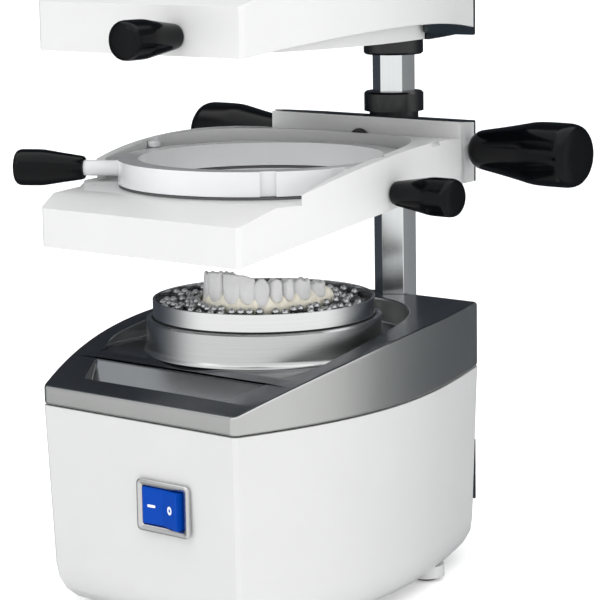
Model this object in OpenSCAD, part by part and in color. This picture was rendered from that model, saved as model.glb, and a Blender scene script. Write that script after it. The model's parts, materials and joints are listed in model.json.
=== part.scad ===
// Bench-top dental vacuum former, millimetres, +Z up, front towards -Y.
// A tub with a sloping cover carries a vacuum platform; a hexagonal column at
// the rear guides the sheet carrier and carries the swinging heater head.

/* [Outline] */
// Widest half width of the plan outline shared by base, carrier and head
plan_half_w = 79; // [72:0.5:86]
// Distance from the platform axis to the front of the base
front_reach = 92; // [88:0.5:94]
// Distance from the platform axis to the rear wall
rear_reach = 118.8; // [118:0.1:121]
// Wall thickness of the moulded covers
wall = 3; // [2.6:0.1:3.4]

/* [Base] */
// Height of the underside of the tub above the table
tub_bottom = 6.5; // [6:0.1:8]
// Height of the joint between tub and top cover
tub_top = 104.8; // [104:0.1:105]
// Height of the flat rear part of the top cover
cover_top = 138.8; // [137:0.1:140]
// Height of the deck that carries the platform
deck_z = 125.7; // [125:0.1:126]
// Radius of the side view arc of the top cover
cover_arc_r = 391; // [370:1:420]

/* [Platform and tray] */
// Radius of the vacuum platform
platform_r = 57.6; // [57:0.1:58]
// Height of the platform top
platform_top = 142; // [141.8:0.1:142.4]
// Radius of the pellet tray
tray_r = 54.25; // [53:0.05:55]
// Height of the tray rim
tray_rim = 151; // [150:0.1:152]

/* [Column] */
// Distance from the platform axis to the column axis
column_y = 104.7; // [104:0.1:105]
// Corner radius of the hexagonal column
column_r = 11; // [10.8:0.05:11]
// Height of the top of the hexagonal column
column_top = 264; // [263:0.5:264]
// Outer radius of the collars round the column
collar_r = 15.3; // [15:0.1:15.4]

/* [Carrier] */
// Radius of the sheet opening
sheet_r = 59.5; // [59:0.1:60]
// Outer radius of the clamp ring
ring_r = 69.3; // [69:0.1:69.5]
// Height of the pocket floor that the gasket lies on
pocket_z = 206.7; // [206.5:0.1:206.8]
// Height of the clamp ring
ring_h = 11.5; // [11:0.1:12]
// Direction of the clamp lever, seen from above
lever_angle = 208.5; // [206:0.5:210]

/* [Handles] */
// Length of the small grips
grip_l = 35; // [32:0.5:38]
// Radius of the small grips
grip_r = 9; // [8.5:0.1:9.5]
// Length of the two large side grips
big_l = 61; // [56:0.5:64]
// Radius of the two large side grips
big_r = 15.7; // [14:0.1:16]

/* [Hidden] */
$fn = 64;
z_shift = -2;              // heights below are counted from 2 mm under the table
k_w = plan_half_w / 79;
arc_cx = 21.9 * k_w;       // rear corner of the plan outline
arc_cy = rear_reach - 40;
arc_r = 40;
front_y = -front_reach;
carrier_front = -88.1;
head_front = -84.6;
carrier_block_y = 79.4;    // front face of the raised rear block
shell_end_y = 101;          // where the white shells stop and the dark rear covers start
handle_y = 94;
handle_z = 217.5;
handle_root = 60.5;
grip_y = 3.8;
grip_z = 206.4;
switch_x = 16.8;
switch_z = 66;
ring_bottom = pocket_z + 1.5;
ring_top = ring_bottom + ring_h;
head_peak = 321.7;
head_floor = 275.3;
heater_y = -9.6;
heater_r = 51;

// ---------- outlines ----------
// Half width of the shared plan outline at a distance y from the platform axis
function plan_x(y) = let(t = (y - 10) / 100)
  k_w * (78.15 - 9.6 * t - 25.5 * t * t + 3.96 * t * t * t + 3.8 * t * t * t * t);
// The same, closed by the large rear corner and moved in by d
function side_x(y, d) = let(q = pow(arc_r - d, 2) - pow(y - arc_cy, 2))
  y > arc_cy ? min(plan_x(y) - d, arc_cx + sqrt(max(q, 0))) : plan_x(y) - d;
function half_plan(d, y0, y1) =
  let(yc = min(102, arc_cy + 0.85 * (arc_r - d)), ye = min(y1, yc), n = 26)
  concat([[side_x(y0 + d, d) - 1.6, y0 + d]],
    [for (i = [0 : n]) let(y = y0 + d + 1.6 + (ye - y0 - d - 1.6) * i / n) [side_x(y, d), y]],
    y1 > yc ? let(a0 = asin((yc - arc_cy) / (arc_r - d)), m = 9)
      [for (i = [1 : m]) let(a = a0 + (90 - a0) * i / m)
        [arc_cx + (arc_r - d) * cos(a), arc_cy + (arc_r - d) * sin(a)]] : []);
function mirror_pts(p) = [for (i = [len(p) - 1 : -1 : 0]) [-p[i][0], p[i][1]]];
function plan(d = 0, y0 = front_y, y1 = rear_reach) =
  let(h = half_plan(d, y0, y1)) concat(h, mirror_pts(h));

// Recess in the top cover: straight front, tapering sides, elliptic rear
function recess_x(y, d) = min(44 + 0.536 * (y + 80), 67 * sqrt(max(0, 1 - pow((y + 22) / 106.5, 2)))) - d;
function recess(d = 0) = let(
  h = concat([for (i = [0 : 8]) let(y = -80 + d + 50 * i / 8) [recess_x(y, d), y]],
    [for (i = [0 : 16]) let(t = -2 + 92 * i / 16) [(67 - d) * cos(t), -22 + (106.5 - d) * sin(t)]]))
  concat(h, mirror_pts([for (p = h) if (p[0] > 0.01) p]));

// Side view profiles, as points [y, z]
function arc_z(y, yc, zc, r) = zc - r + sqrt(r * r - pow(y - yc, 2));
function base_profile(d, z0) = concat([[front_y - 2, z0]],
  [for (i = [0 : 22]) let(y = front_y - 2 + (45 - front_y + 2) * i / 22) [y, arc_z(y, 45, cover_top, cover_arc_r) - d]],
  [for (i = [0 : 8]) let(a = 90 * i / 8) [rear_reach - 19 + (19 - d) * sin(a), cover_top - 19 + (19 - d) * cos(a)]],
  [[rear_reach - d, z0]]);
function lens_profile(y0, y1, d0, d1, bc, bz, br, tc, tz, tr) = concat(
  [for (i = [0 : 18]) let(y = y0 + (y1 - y0) * i / 18) [y, arc_z(y, bc, bz, br) + d0]],
  [for (i = [18 : -1 : 0]) let(y = y0 + (y1 - y0) * i / 18) [y, arc_z(y, tc, tz, tr) - d1]]);

module placed() translate([0, 0, z_shift]) children();
// Extrudes a [y, z] profile along X
module side_solid(pts, w = 190) translate([-w / 2, 0, 0]) rotate([90, 0, 90]) linear_extrude(w) polygon(pts);
module slab(z, d) translate([0, 0, z]) linear_extrude(0.1) polygon(plan(d));
module tub(e) hull() {
  slab(tub_top - 0.1 + (e > 0 ? 1 : 0), e);
  slab(26 + e * 0.5, 2.8 + e);
  slab(19 + e, 3.9 + e);
  slab(13.5 + e, 6.4 + e);
  slab(9 + e, 11 + e);
  slab(7.2 + e, 14.8 + e);
  slab(tub_bottom + e, 19 + e);
}
module hex(r, h) rotate([0, 0, 90]) cylinder(r = r, h = h, $fn = 6);
module at_column(z) translate([0, column_y, z]) children();
// A countersunk or pan screw standing on +Z, head up
module screw(r, l, hr, hh) { translate([0, 0, -l]) cylinder(r = r, h = l, $fn = 24); cylinder(r1 = hr, r2 = hr * 0.8, h = hh, $fn = 32); }

// ---------- base ----------
post_pts = [[50, -66], [-50, -66], [46, 74], [-46, 74]];
module base_shell() color("white") placed() difference() {
  union() {
    difference() {
      tub(0);
      tub(wall);
      // rear opening for the panel
      translate([-70, 103.2, 35.3]) cube([140, 30, 31.4]);
    }
    // bosses over the feet
    for (p = foot_pts) translate([p[0], p[1], 4]) cylinder(r = 9.3, h = 6, $fn = 64);
    // posts for cover and column plate
    for (p = post_pts) translate([p[0], p[1], 8]) cylinder(r = 5, h = 80, $fn = 32);
    for (s = [-1, 1]) translate([s * 56, 0, 8.8]) cylinder(r = 5, h = 13.2, $fn = 32);
    for (a = [45, 135]) rotate([0, 0, a]) for (s = [-1, 1]) translate([s * 46, 0, 8.5]) cylinder(r = 5, h = 13.5, $fn = 32);
  }
  // switch cut-out
  translate([switch_x - 14.5, front_y - 5, switch_z - 10.7]) cube([29, 20, 21.4]);
  // screw holes in the posts and foot holes
  for (p = post_pts) translate([p[0], p[1], 70]) cylinder(r = 1.9, h = 30, $fn = 24);
  for (a = [45, 135]) rotate([0, 0, a]) for (s = [-1, 1]) translate([s * 46, 0, 12]) cylinder(r = 1.9, h = 20, $fn = 24);
  for (p = foot_pts) translate([p[0], p[1], 0]) cylinder(r = 2.05, h = 20, $fn = 24);
  // exhaust slots under the tub
  for (i = [-3 : 3]) translate([i * 9 - 1.5, -30, 0]) cube([3, 40, 20]);
}
foot_pts = [[43, -63], [-43, -63], [49.5, 64], [-49.5, 64]];
module top_cover() color("dimgray") placed() difference() {
  union() {
    difference() {
      intersection() {
        translate([0, 0, tub_top + 0.5]) linear_extrude(40) polygon(plan(0));
        side_solid(base_profile(0, tub_top));
      }
      // recess down to the deck, and the deeper trough in front of it
      translate([0, 0, deck_z]) linear_extrude(40) polygon(recess(0));
      intersection() {
        translate([0, 0, 109]) linear_extrude(40) polygon(recess(0));
        side_solid([[-90, 109], [-60.5 - (deck_z - 109), 109], [-60.5, deck_z], [-60.5, 160], [-90, 160]]);
      }
      // hollow underside, leaving the walls, the deck and the trough
      difference() {
        intersection() {
          translate([0, 0, tub_top]) linear_extrude(40) polygon(plan(wall));
          side_solid(base_profile(wall, tub_top - 1));
        }
        translate([0, 0, deck_z - wall]) linear_extrude(40) polygon(recess(-wall));
        intersection() {
          translate([0, 0, 106.5]) linear_extrude(40) polygon(recess(-wall));
          side_solid([[-90, 106], [-56.26 - (deck_z - wall - 106), 106], [-56.26, deck_z - wall], [-56.26, 165], [-90, 165]]);
        }
      }
    }
    // locating lip inside the tub
    difference() {
      translate([0, 0, 101.5]) linear_extrude(8) polygon(plan(wall + 0.5));
      translate([0, 0, 101]) linear_extrude(10) polygon(plan(wall + 2.4));
      translate([-80, 98, 90]) cube([160, 40, 30]);
    }
    // screw bosses
    for (p = post_pts) translate([p[0], p[1], 92.4]) cylinder(r = 5, h = (p[1] < 0 ? 17 : 30), $fn = 32);
  }
  // suction bore, column hole and screw holes
  translate([0, 0, 100]) cylinder(r = 20.2, h = 40);
  at_column(90) hex(column_r + 0.35, 60);
  for (a = [90, 210, 330]) rotate([0, 0, a]) translate([34, 0, 100]) cylinder(r = 2.1, h = 40, $fn = 24);
  for (p = post_pts) translate([p[0], p[1], 80]) cylinder(r = 1.9, h = (p[1] < 0 ? 24 : 36), $fn = 24);
}
module rear_panel() color("#2a2d30") placed() difference() {
  translate([0, 0, 35.5]) linear_extrude(31) polygon(plan(0.9));
  translate([0, 0, 20]) linear_extrude(90) polygon(plan(4.2));
  translate([-100, -120, 0]) cube([200, 223.4, 140]);
  // exhaust louvres
  for (i = [0 : 4]) translate([-41, 100, 38.6 + i * 5.2]) cube([22, 30, 2.4]);
  // inlet and fuse cut-outs
  translate([-14, 100, 40.3]) cube([28, 40, 20.4]);
  translate([30, 130, 50.5]) rotate([90, 0, 0]) cylinder(r = 6.1, h = 40, $fn = 32);
}
module rubber_feet() color("#1c1c1c") placed() for (p = foot_pts) translate([p[0], p[1], 2]) {
  cylinder(r = 5.6, h = 1.95, $fn = 48);
  cylinder(r = 2, h = 9, $fn = 24);
}
module vacuum_platform() color("#c9cccd") placed() difference() {
  rotate_extrude($fn = 128) polygon([[30, deck_z + 0.05], [platform_r + 1.4, deck_z + 0.05], [platform_r + 1.25, deck_z + 0.8], [platform_r + 0.45, deck_z + 1.7],
    [platform_r, deck_z + 3.2], [platform_r, platform_top - 0.9], [platform_r - 0.9, platform_top],
    [54.9, platform_top], [54.9, platform_top - 1.4], [0, platform_top - 1.4], [0, platform_top - 5],
    [30, platform_top - 5], [platform_r - 3, platform_top - 5], [platform_r - 3, deck_z + 3.2], [30, deck_z + 3.2]]);
  // suction holes
  for (n = [[18, 8], [32, 12], [46, 18]]) for (i = [0 : n[1] - 1]) rotate([0, 0, 360 * i / n[1]]) translate([n[0], 0, 130]) cylinder(r = 1.6, h = 20, $fn = 16);
  for (a = [90, 210, 330]) rotate([0, 0, a]) translate([34, 0, 120]) cylinder(r = 1.7, h = 9.6, $fn = 24);
}
module platform_gasket() color("#e6e2da") placed() translate([0, 0, platform_top - 1.4]) difference() { cylinder(r = 54.7, h = 1.4, $fn = 128); translate([0, 0, -1]) cylinder(r = 49.5, h = 4, $fn = 128); }
module platform_screws() color("silver") placed() for (a = [90, 210, 330]) rotate([0, 0, a]) translate([34, 0, deck_z - wall]) mirror([0, 0, 1]) screw(1.65, 6, 4, 2.6);
module suction_sleeve() color("#333333") placed() translate([0, 0, 112.4]) difference() {
  union() { cylinder(r = 20, h = 16.4); cylinder(r = 25, h = 3); }
  translate([0, 0, -1]) cylinder(r = 17, h = 30);
}
module fan_casing() color("lightgray") placed() difference() {
  translate([0, 0, 84]) cylinder(r = 50, h = 28.4, $fn = 96);
  translate([0, 0, 86]) cylinder(r = 48, h = 24.4, $fn = 96);
  translate([0, 0, 100]) cylinder(r = 17, h = 20);
  translate([0, 0, 80]) cylinder(r = 11.05, h = 10);
  for (i = [0 : 9]) rotate([0, 0, 36 * i]) translate([36, -4, 80]) cube([9, 8, 8]);
}
module motor_can() color("#8d9499") placed() difference() {
  translate([0, 0, 27]) cylinder(r = 41, h = 56.9, $fn = 96);
  translate([0, 0, 30]) cylinder(r = 39, h = 60, $fn = 96);
  translate([0, 0, 20]) cylinder(r = 8.05, h = 20);
  for (i = [0 : 7]) rotate([0, 0, 45 * i]) translate([37, -5, 34]) cube([10, 10, 14]);
}
module stator_core() color("#6b6e70") placed() translate([0, 0, 46]) difference() { cylinder(r = 38.9, h = 28, $fn = 96); translate([0, 0, -1]) cylinder(r = 24, h = 40); for (a = [0 : 90 : 270]) rotate([0, 0, a]) translate([18, -6, -1]) cube([15, 12, 40]); }
module motor_rotor() color("#b87333") placed() translate([0, 0, 44]) difference() { union() { cylinder(r = 23.3, h = 30); translate([0, 0, -8]) cylinder(r = 14, h = 8); } translate([0, 0, -10]) cylinder(r = 4, h = 60, $fn = 40); }
module motor_shaft() color("silver") placed() translate([0, 0, 27.4]) cylinder(r = 4, h = 79, $fn = 40);
module impeller() color("#a9adb0") placed() difference() {
  union() {
    translate([0, 0, 92]) cylinder(r = 45, h = 1.6, $fn = 96);
    translate([0, 0, 90]) cylinder(r = 9, h = 12);
    for (i = [0 : 7]) rotate([0, 0, 45 * i]) translate([14, -0.8, 93]) cube([30, 1.6, 10]);
    translate([0, 0, 103]) difference() { cylinder(r = 45, h = 1.4, $fn = 96); translate([0, 0, -1]) cylinder(r = 18, h = 4); }
  }
  translate([0, 0, 80]) cylinder(r = 4, h = 40, $fn = 40);
}
module bearing(r) difference() { cylinder(r = r, h = 5, $fn = 48); translate([0, 0, -1]) cylinder(r = 4.05, h = 8, $fn = 40); }
module motor_bearings() color("gainsboro") placed() { translate([0, 0, 28]) bearing(8); translate([0, 0, 84.5]) bearing(11); }
module motor_bracket() color("#9aa0a3") placed() difference() {
  translate([-48, -48, 22.2]) cube([96, 96, 2.5]);
  translate([0, 0, 20]) cylinder(r = 30, h = 10);
  for (a = [45, 135]) rotate([0, 0, a]) for (s = [-1, 1]) translate([s * 46, 0, 15]) cylinder(r = 2.1, h = 20, $fn = 24);
}
module bracket_screws() color("silver") placed() for (a = [45, 135]) rotate([0, 0, a]) for (s = [-1, 1]) translate([s * 46, 0, 24.7]) screw(1.85, 8, 3.6, 2.6);

// ---------- switch and inlet ----------
module switch_bezel() color("#b9bec3") placed() translate([switch_x, 0, switch_z]) difference() {
  union() {
    translate([-16.4, front_y - 1.6, -12.4]) cube([32.8, 2.3, 24.8]);
    translate([-14.3, front_y, -10.5]) cube([28.6, 5.5, 21]);
  }
  translate([-13, front_y - 4, -9.2]) cube([26, 20, 18.4]);
}
module switch_body() color("#202224") placed() translate([switch_x, 0, switch_z]) difference() {
  union() {
    translate([-14, front_y + 5.7, -10.2]) cube([28, 17, 20.4]);
    for (x = [-8, 0, 8]) translate([x - 2.4, front_y + 22, -3]) cube([0.8, 9, 6.3]);
  }
  translate([-12.4, front_y, -9.2]) cube([24.8, 12.5, 18.4]);
}
module switch_rocker() color("#1a5fd0") placed() translate([switch_x, front_y + 4.2, switch_z]) rotate([0, 0, -7]) union() {
  translate([0, 0, -9.15]) cylinder(r = 1.5, h = 18.3, $fn = 32);
  translate([0, 0, -8.9]) linear_extrude(17.8)
  polygon([[-12.2, -7], [-6, -5.3], [0, -4.7], [6, -5.3], [12.2, -7], [12.3, -5], [12, -0.4], [5, 3.4], [0, 4.4], [-5, 3.4], [-12, -0.4], [-12.3, -5]]);
}
module power_inlet() color("#17191b") placed() translate([0, rear_reach, 50.5]) difference() {
  union() {
    translate([-13.6, -17.6, -9.9]) cube([27.2, 17.4, 19.8]);
    translate([-17, -0.85, -11]) cube([34, 1.4, 22]);
  }
  translate([-11.9, -14, -8]) cube([23.8, 30, 16]);
}
module inlet_pins() color("silver") placed() translate([0, rear_reach, 50.5]) for (p = [[-7, -2], [7, -2], [0, 2.6]]) translate([p[0] - 1, -20, p[1] - 2]) cube([2, 12, 4]);
module fuse_cap() color("#17191b") placed() translate([30, rear_reach, 50.5]) rotate([-90, 0, 0]) { translate([0, 0, -20]) cylinder(r = 6, h = 19.5, $fn = 32); translate([0, 0, -0.85]) cylinder(r = 7.4, h = 1.95, $fn = 40); }

// ---------- column ----------
module column() color("#aab0b4") placed() at_column(92.2) difference() {
  hex(column_r, column_top - 92.2);
  translate([0, 0, column_top - 92.2 - 24]) cylinder(r = 5, h = 30, $fn = 32);
  translate([0, 0, -1]) cylinder(r = 4.05, h = 6, $fn = 32);
}
module column_plate() color("#7d8386") placed() difference() {
  union() {
    translate([-53, 66, 88.2]) cube([106, 16, 4]);
    translate([-26, 80, 88.2]) cube([52, 36, 4]);
    at_column(92.2) cylinder(r = 13.6, h = 16, $fn = 48);
  }
  at_column(92.2) hex(column_r, 30);
  translate([-30, 114.4, 80]) cube([60, 20, 60]);
  for (x = [-46, 46]) translate([x, 74, 80]) cylinder(r = 2.1, h = 20, $fn = 24);
  at_column(80) cylinder(r = 4.1, h = 20, $fn = 24);
}
module column_nut() color("silver") placed() at_column(80) { cylinder(r = 7.5, h = 8.1, $fn = 6); cylinder(r = 4, h = 16, $fn = 32); }
module case_bolts() color("silver") placed() for (p = post_pts) translate([p[0], p[1], 74]) cylinder(r = 1.85, h = (p[1] < 0 ? 26 : 34), $fn = 24);
module pivot_spindle() color("silver") placed() at_column(column_top - 22) { cylinder(r = 4.98, h = 22, $fn = 48); translate([0, 0, 22]) cylinder(r = 7, h = 44, $fn = 48); }
module spindle_nut() color("silver") placed() at_column(304.4) difference() { cylinder(r = 8.9, h = 3.2, $fn = 6); translate([0, 0, -1]) cylinder(r = 7, h = 9, $fn = 48); }

// ---------- heater head ----------
module head_solid(d, d0, y0, y1) intersection() {
  translate([0, 0, 255]) linear_extrude(80) polygon(plan(0.4 + d, head_front - 0.4, y1));
  side_solid(lens_profile(y0, y1, d0, d, 20, 282.8, 600, 40, head_peak, 320));
}
module head_shell() color("white") placed() difference() {
  head_solid(0, 0, head_front - 0.1, shell_end_y);
  head_solid(wall, -20, head_front + wall - 0.4, shell_end_y + 1);
  translate([24.4, head_front - 5, 282.5]) rotate([-90, 0, 0]) cylinder(r = 3.1, h = 20, $fn = 32);
}
function rear_roof(d) = concat([for (i = [0 : 5]) let(y = shell_end_y + 0.3 + 6.2 * i / 5) [y, arc_z(y, 40, head_peak, 320) - d]],
  [for (i = [0 : 6]) let(a = 15 + 75 * i / 6) [rear_reach - 14.4 + (14 - d) * sin(a), arc_z(rear_reach - 13, 40, head_peak, 320) - 13.2 + (14 - d) * cos(a)]]);
module head_rear_cover() color("#26292c") placed() difference() {
  union() {
    // outer wall, with side bands that reach forward below the white shell
    difference() {
      intersection() {
        translate([0, 0, 270]) linear_extrude(60) polygon(plan(0.4, front_y, rear_reach));
        side_solid(concat([[rear_reach - 0.4, 276.5], [rear_reach - 3.4, 273.7], [100, 273.5], [40.5, 277.9], [38.2, 278.8], [37.5, 280]],
          [for (i = [0 : 8]) let(y = 37.5 + (shell_end_y + 0.3 - 37.5) * i / 8) [y, arc_z(y, 20, 282.8, 600) - 0.3]], rear_roof(0)));
      }
      translate([0, 0, 265]) linear_extrude(70) intersection() { polygon(plan(0.4 + wall, front_y, rear_reach)); translate([-80, 0]) square([160, 200]); }
    }
    // roof of the cover
    intersection() {
      translate([0, 0, 290]) linear_extrude(50) polygon(plan(0.4 + wall - 0.2, front_y, rear_reach));
      side_solid(concat(rear_roof(0), [for (i = [6 : -1 : 0]) let(a = 15 + 75 * i / 6) [rear_reach - 14.4 + 11 * sin(a), arc_z(rear_reach - 13, 40, head_peak, 320) - 13.2 + 11 * cos(a)]],
        [for (i = [5 : -1 : 0]) let(y = shell_end_y + 0.3 + 5.5 * i / 5) [y, arc_z(y, 40, head_peak, 320) - wall]]));
    }
    // underside plate reaching forward to the heater housing
    intersection() {
      translate([0, 0, head_floor - 0.3]) linear_extrude(2.5) polygon(plan(3.2, front_y, rear_reach));
      translate([-90, 43.6, 270]) cube([180, 80, 20]);
    }
  }
  at_column(260) cylinder(r = 12.2, h = 22, $fn = 64);
  at_column(260) cylinder(r = 15.9, h = 15.25, $fn = 64);
  // cooling slots
  for (i = [-4 : 4]) translate([i * 7 - 1.4, 108, 292]) cube([2.8, 20, 12]);
}
module heater_housing() color("white") placed() difference() {
  intersection() {
    translate([0, 0, head_floor - 1]) linear_extrude(26) polygon(plan(5.4, -67.4, 43.2));
    translate([-100, -62, head_floor]) cube([200, 105.2, 24.5]);
  }
  // heater opening
  translate([0, heater_y, head_floor - 5]) cylinder(r = heater_r, h = 26.8, $fn = 128);
  // corner lightening pockets, open at the top
  difference() {
    intersection() {
      translate([0, 0, head_floor + 2.5]) linear_extrude(40) polygon(plan(7.9, -67.4, 43.2));
      translate([-100, -59.6, 270]) cube([200, 100.4, 60]);
    }
    translate([0, heater_y, head_floor - 5]) cylinder(r = heater_r + 2.4, h = 60, $fn = 128);
  }
  translate([0, heater_y, 290]) cylinder(r = 3, h = 20, $fn = 32);
  for (s = [-1, 1]) translate([s * 18, 26, 290]) cylinder(r = 2.05, h = 20, $fn = 24);
}
module reflector() color("#d8dadb") placed() translate([0, heater_y, 0]) rotate_extrude($fn = 128) polygon([[heater_r - 0.2, head_floor + 1], [heater_r - 0.2, head_floor + 2], [heater_r - 1.6, head_floor + 2], [45, head_floor + 16.6], [39, head_floor + 20],
  [4, head_floor + 20], [4, head_floor + 19.2], [38.7, head_floor + 19.2], [44.4, head_floor + 15.9], [heater_r - 2.2, head_floor + 1]]);
module heating_element() color("#6e6a66") placed() translate([0, heater_y, head_floor + 12.5]) {
  for (r = [13, 22, 31, 40]) rotate_extrude($fn = 96) translate([r, 0]) circle(r = 2.5, $fn = 24);
  for (a = [0, 120, 240]) rotate([0, 0, a]) translate([11, -1.5, -1]) cube([30, 3, 2]);
}
module ceramic_posts() color("#efe9dc") placed() for (a = [60, 180, 300]) translate([0, heater_y, 0]) rotate([0, 0, a]) translate([26.5, 0, head_floor + 12.7]) cylinder(r = 1.9, h = 6.4, $fn = 32);
module insulation_pad() color("#e9e4d4") placed() translate([0, heater_y, head_floor + 24.7]) difference() { cylinder(r = 45, h = 4, $fn = 96); translate([-27, 16, -1]) cube([54, 60, 12]); }
module head_arm() color("#7d8386") placed() difference() {
  union() {
    translate([-25, 18, head_floor + 24.9]) cube([50, 94, 3.2]);
    at_column(head_floor + 2.4) cylinder(r = 10.6, h = 22.8, $fn = 64);
  }
  at_column(head_floor - 5) cylinder(r = 9, h = 60, $fn = 64);
  for (s = [-1, 1]) translate([s * 18, 26, 290]) cylinder(r = 2.1, h = 20, $fn = 24);
}
module head_bush() color("#b08d4a") placed() at_column(264.4) difference() { cylinder(r = 9, h = 39.6, $fn = 64); translate([0, 0, -1]) cylinder(r = 7.06, h = 50, $fn = 64); }
module upper_collar() color("#151618") placed() at_column(262.3) difference() {
  union() { cylinder(r1 = collar_r - 1, r2 = collar_r, h = 1, $fn = 96); translate([0, 0, 1]) cylinder(r = collar_r, h = 11.65, $fn = 96); }
  translate([0, 0, -1]) cylinder(r = 11.4, h = 3.2, $fn = 64);
  translate([0, 0, 2.1]) cylinder(r = 9.02, h = 30, $fn = 64);
}
// Plastic grips along +Z, root at 0
module small_grip() rotate_extrude($fn = 72) polygon([[0, 0], [5.4, 0], [5.8, 0.5], [6.5, 4.5], [7.4, 9.5], [8.3, 14.5], [grip_r - 0.15, 19], [grip_r, 22.5], [grip_r, grip_l - 3], [grip_r - 0.5, grip_l - 1.3], [grip_r - 1.8, grip_l - 0.2], [grip_r - 2.6, grip_l], [0, grip_l]]);
module big_grip() rotate_extrude($fn = 96) polygon([[0, 0], [7.6, 0], [8.6, 0.8], [9.5, 3], [10.2, 6], [11, 11], [12, 17], [13, 23], [14.1, 30], [15, 36], [big_r - 0.2, 42], [big_r, 47], [big_r, big_l - 7],
  [big_r - 0.5, big_l - 4], [big_r - 1.8, big_l - 1.7], [big_r - 3.6, big_l - 0.3], [big_r - 4.7, big_l], [0, big_l]]);
module head_grip() color("#111214") placed() translate([24.4, head_front - 0.3, 282.5]) rotate([90, 0, 0]) difference() { small_grip(); translate([0, 0, -1]) cylinder(r = 3, h = 21, $fn = 32); }
module head_grip_stud() color("silver") placed() translate([24.4, head_front + 8, 282.5]) rotate([90, 0, 0]) { cylinder(r = 2.98, h = 26, $fn = 32); cylinder(r = 6, h = 4, $fn = 6); }
module head_screws() color("silver") placed() for (s = [-1, 1]) translate([s * 18, 26, head_floor + 28.15]) screw(2, 6, 4, 2.6);

// ---------- sheet carrier ----------
module carrier_solid(d, d0, y0, y1, x = 0.4) intersection() {
  translate([0, 0, 170]) linear_extrude(80) polygon(plan(x + d, carrier_front - x, y1));
  side_solid(lens_profile(y0, y1, d0, d, 60, 201.9, 530, 40, 226.1, 320));
}
function block_top(y) = 232.2 - 0.1 * (y - carrier_block_y);
module carrier_frame() color("white") placed() difference() {
  union() {
    difference() {
      union() {
        carrier_solid(0, 0, carrier_front - 0.1, shell_end_y);
        // raised rear block
        intersection() {
          translate([0, 0, 205]) linear_extrude(30) polygon(plan(0.4, carrier_front, shell_end_y));
          side_solid([[carrier_block_y, 200], [carrier_block_y, block_top(carrier_block_y)], [shell_end_y, block_top(shell_end_y)], [shell_end_y, 200]]);
        }
      }
      // hollow of the rear block
      translate([0, 0, 205.2]) linear_extrude(40) intersection() { polygon(plan(0.4 + wall, carrier_front, 130)); translate([-90, carrier_block_y + wall]) square([180, 60]); }
      // underside hollow between the walls and the round wall of the opening
      difference() {
        carrier_solid(wall, -30, carrier_front + wall - 0.4, carrier_block_y);
        translate([-100, -100, pocket_z - wall]) cube([200, 220, 60]);
        translate([0, 0, 150]) cylinder(r = sheet_r + 3, h = 80, $fn = 128);
      }
    }
    // tongue and sleeve that hold the slide bush
    difference() {
      union() {
        translate([-26, shell_end_y - 8, 202.2]) cube([52, 26, 3]);
        at_column(202.2) cylinder(r = 18.6, h = 17.6, $fn = 64);
        for (s = [-1, 1]) translate([s * 14 - 1.5, carrier_block_y + 1, 203]) cube([3, 16, 24]);
      }
      translate([-60, 114.8, 190]) cube([120, 40, 60]);
    }
    // bosses of the handle studs
    for (s = [-1, 1]) translate([s * 43, 0, handle_z]) {
      translate([0, handle_y, 0]) rotate([0, 90, 0]) cylinder(r = 6.5, h = 12, center = true, $fn = 40);
      translate([-6, carrier_block_y + 1, -6.5]) cube([12, handle_y - carrier_block_y, 13]);
    }
  }
  // pocket, opening
  translate([0, 0, pocket_z]) cylinder(r = 72.5, h = 30, $fn = 160);
  translate([-72.5, -110, pocket_z]) cube([145, 110, 30]);
  translate([0, 0, 150]) cylinder(r = sheet_r, h = 80, $fn = 128);
  // counterbores and pin holes of the ring buttons
  for (a = [0, 180]) rotate([0, 0, a]) { translate([71, 0, ring_top - 1]) cylinder(r = 4.2, h = 20, $fn = 40); translate([71, 0, pocket_z - 3]) cylinder(r = 1.2, h = 5, $fn = 24); }
  // window for the clamp lever
  rotate([0, 0, lever_angle - 3.6]) translate([0, 0, ring_bottom - 0.6]) rotate_extrude(angle = 25.5, $fn = 128) translate([68, 0]) square([40, 24]);
  rotate([0, 0, lever_angle - 2.6]) translate([0, 0, 204.9]) rotate_extrude(angle = 24.5, $fn = 128) translate([87.5, 0]) square([24, 24]);
  // bush bore, stud bores and friction screw seat
  at_column(190) cylinder(r = 12.62, h = 60, $fn = 96);
  for (s = [-1, 1]) translate([s * 50, handle_y, handle_z]) rotate([0, 90, 0]) cylinder(r = 4, h = 40, center = true, $fn = 40);
  translate([-2, carrier_block_y - 4, 219.6]) rotate([-90, 0, 0]) cylinder(r = 7.3, h = 4, $fn = 48);
  translate([-2, carrier_block_y - 1, 219.6]) rotate([-90, 0, 0]) cylinder(r = 3, h = 16, $fn = 32);
  translate([60, grip_y, grip_z]) rotate([0, 90, 0]) cylinder(r = 3.05, h = 60, $fn = 32);
  // shallow finger slot on the right edge
  translate([68.6, 50, 226]) rotate([0, 0, 17]) cube([3, 20, 4], center = true);
}
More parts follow.
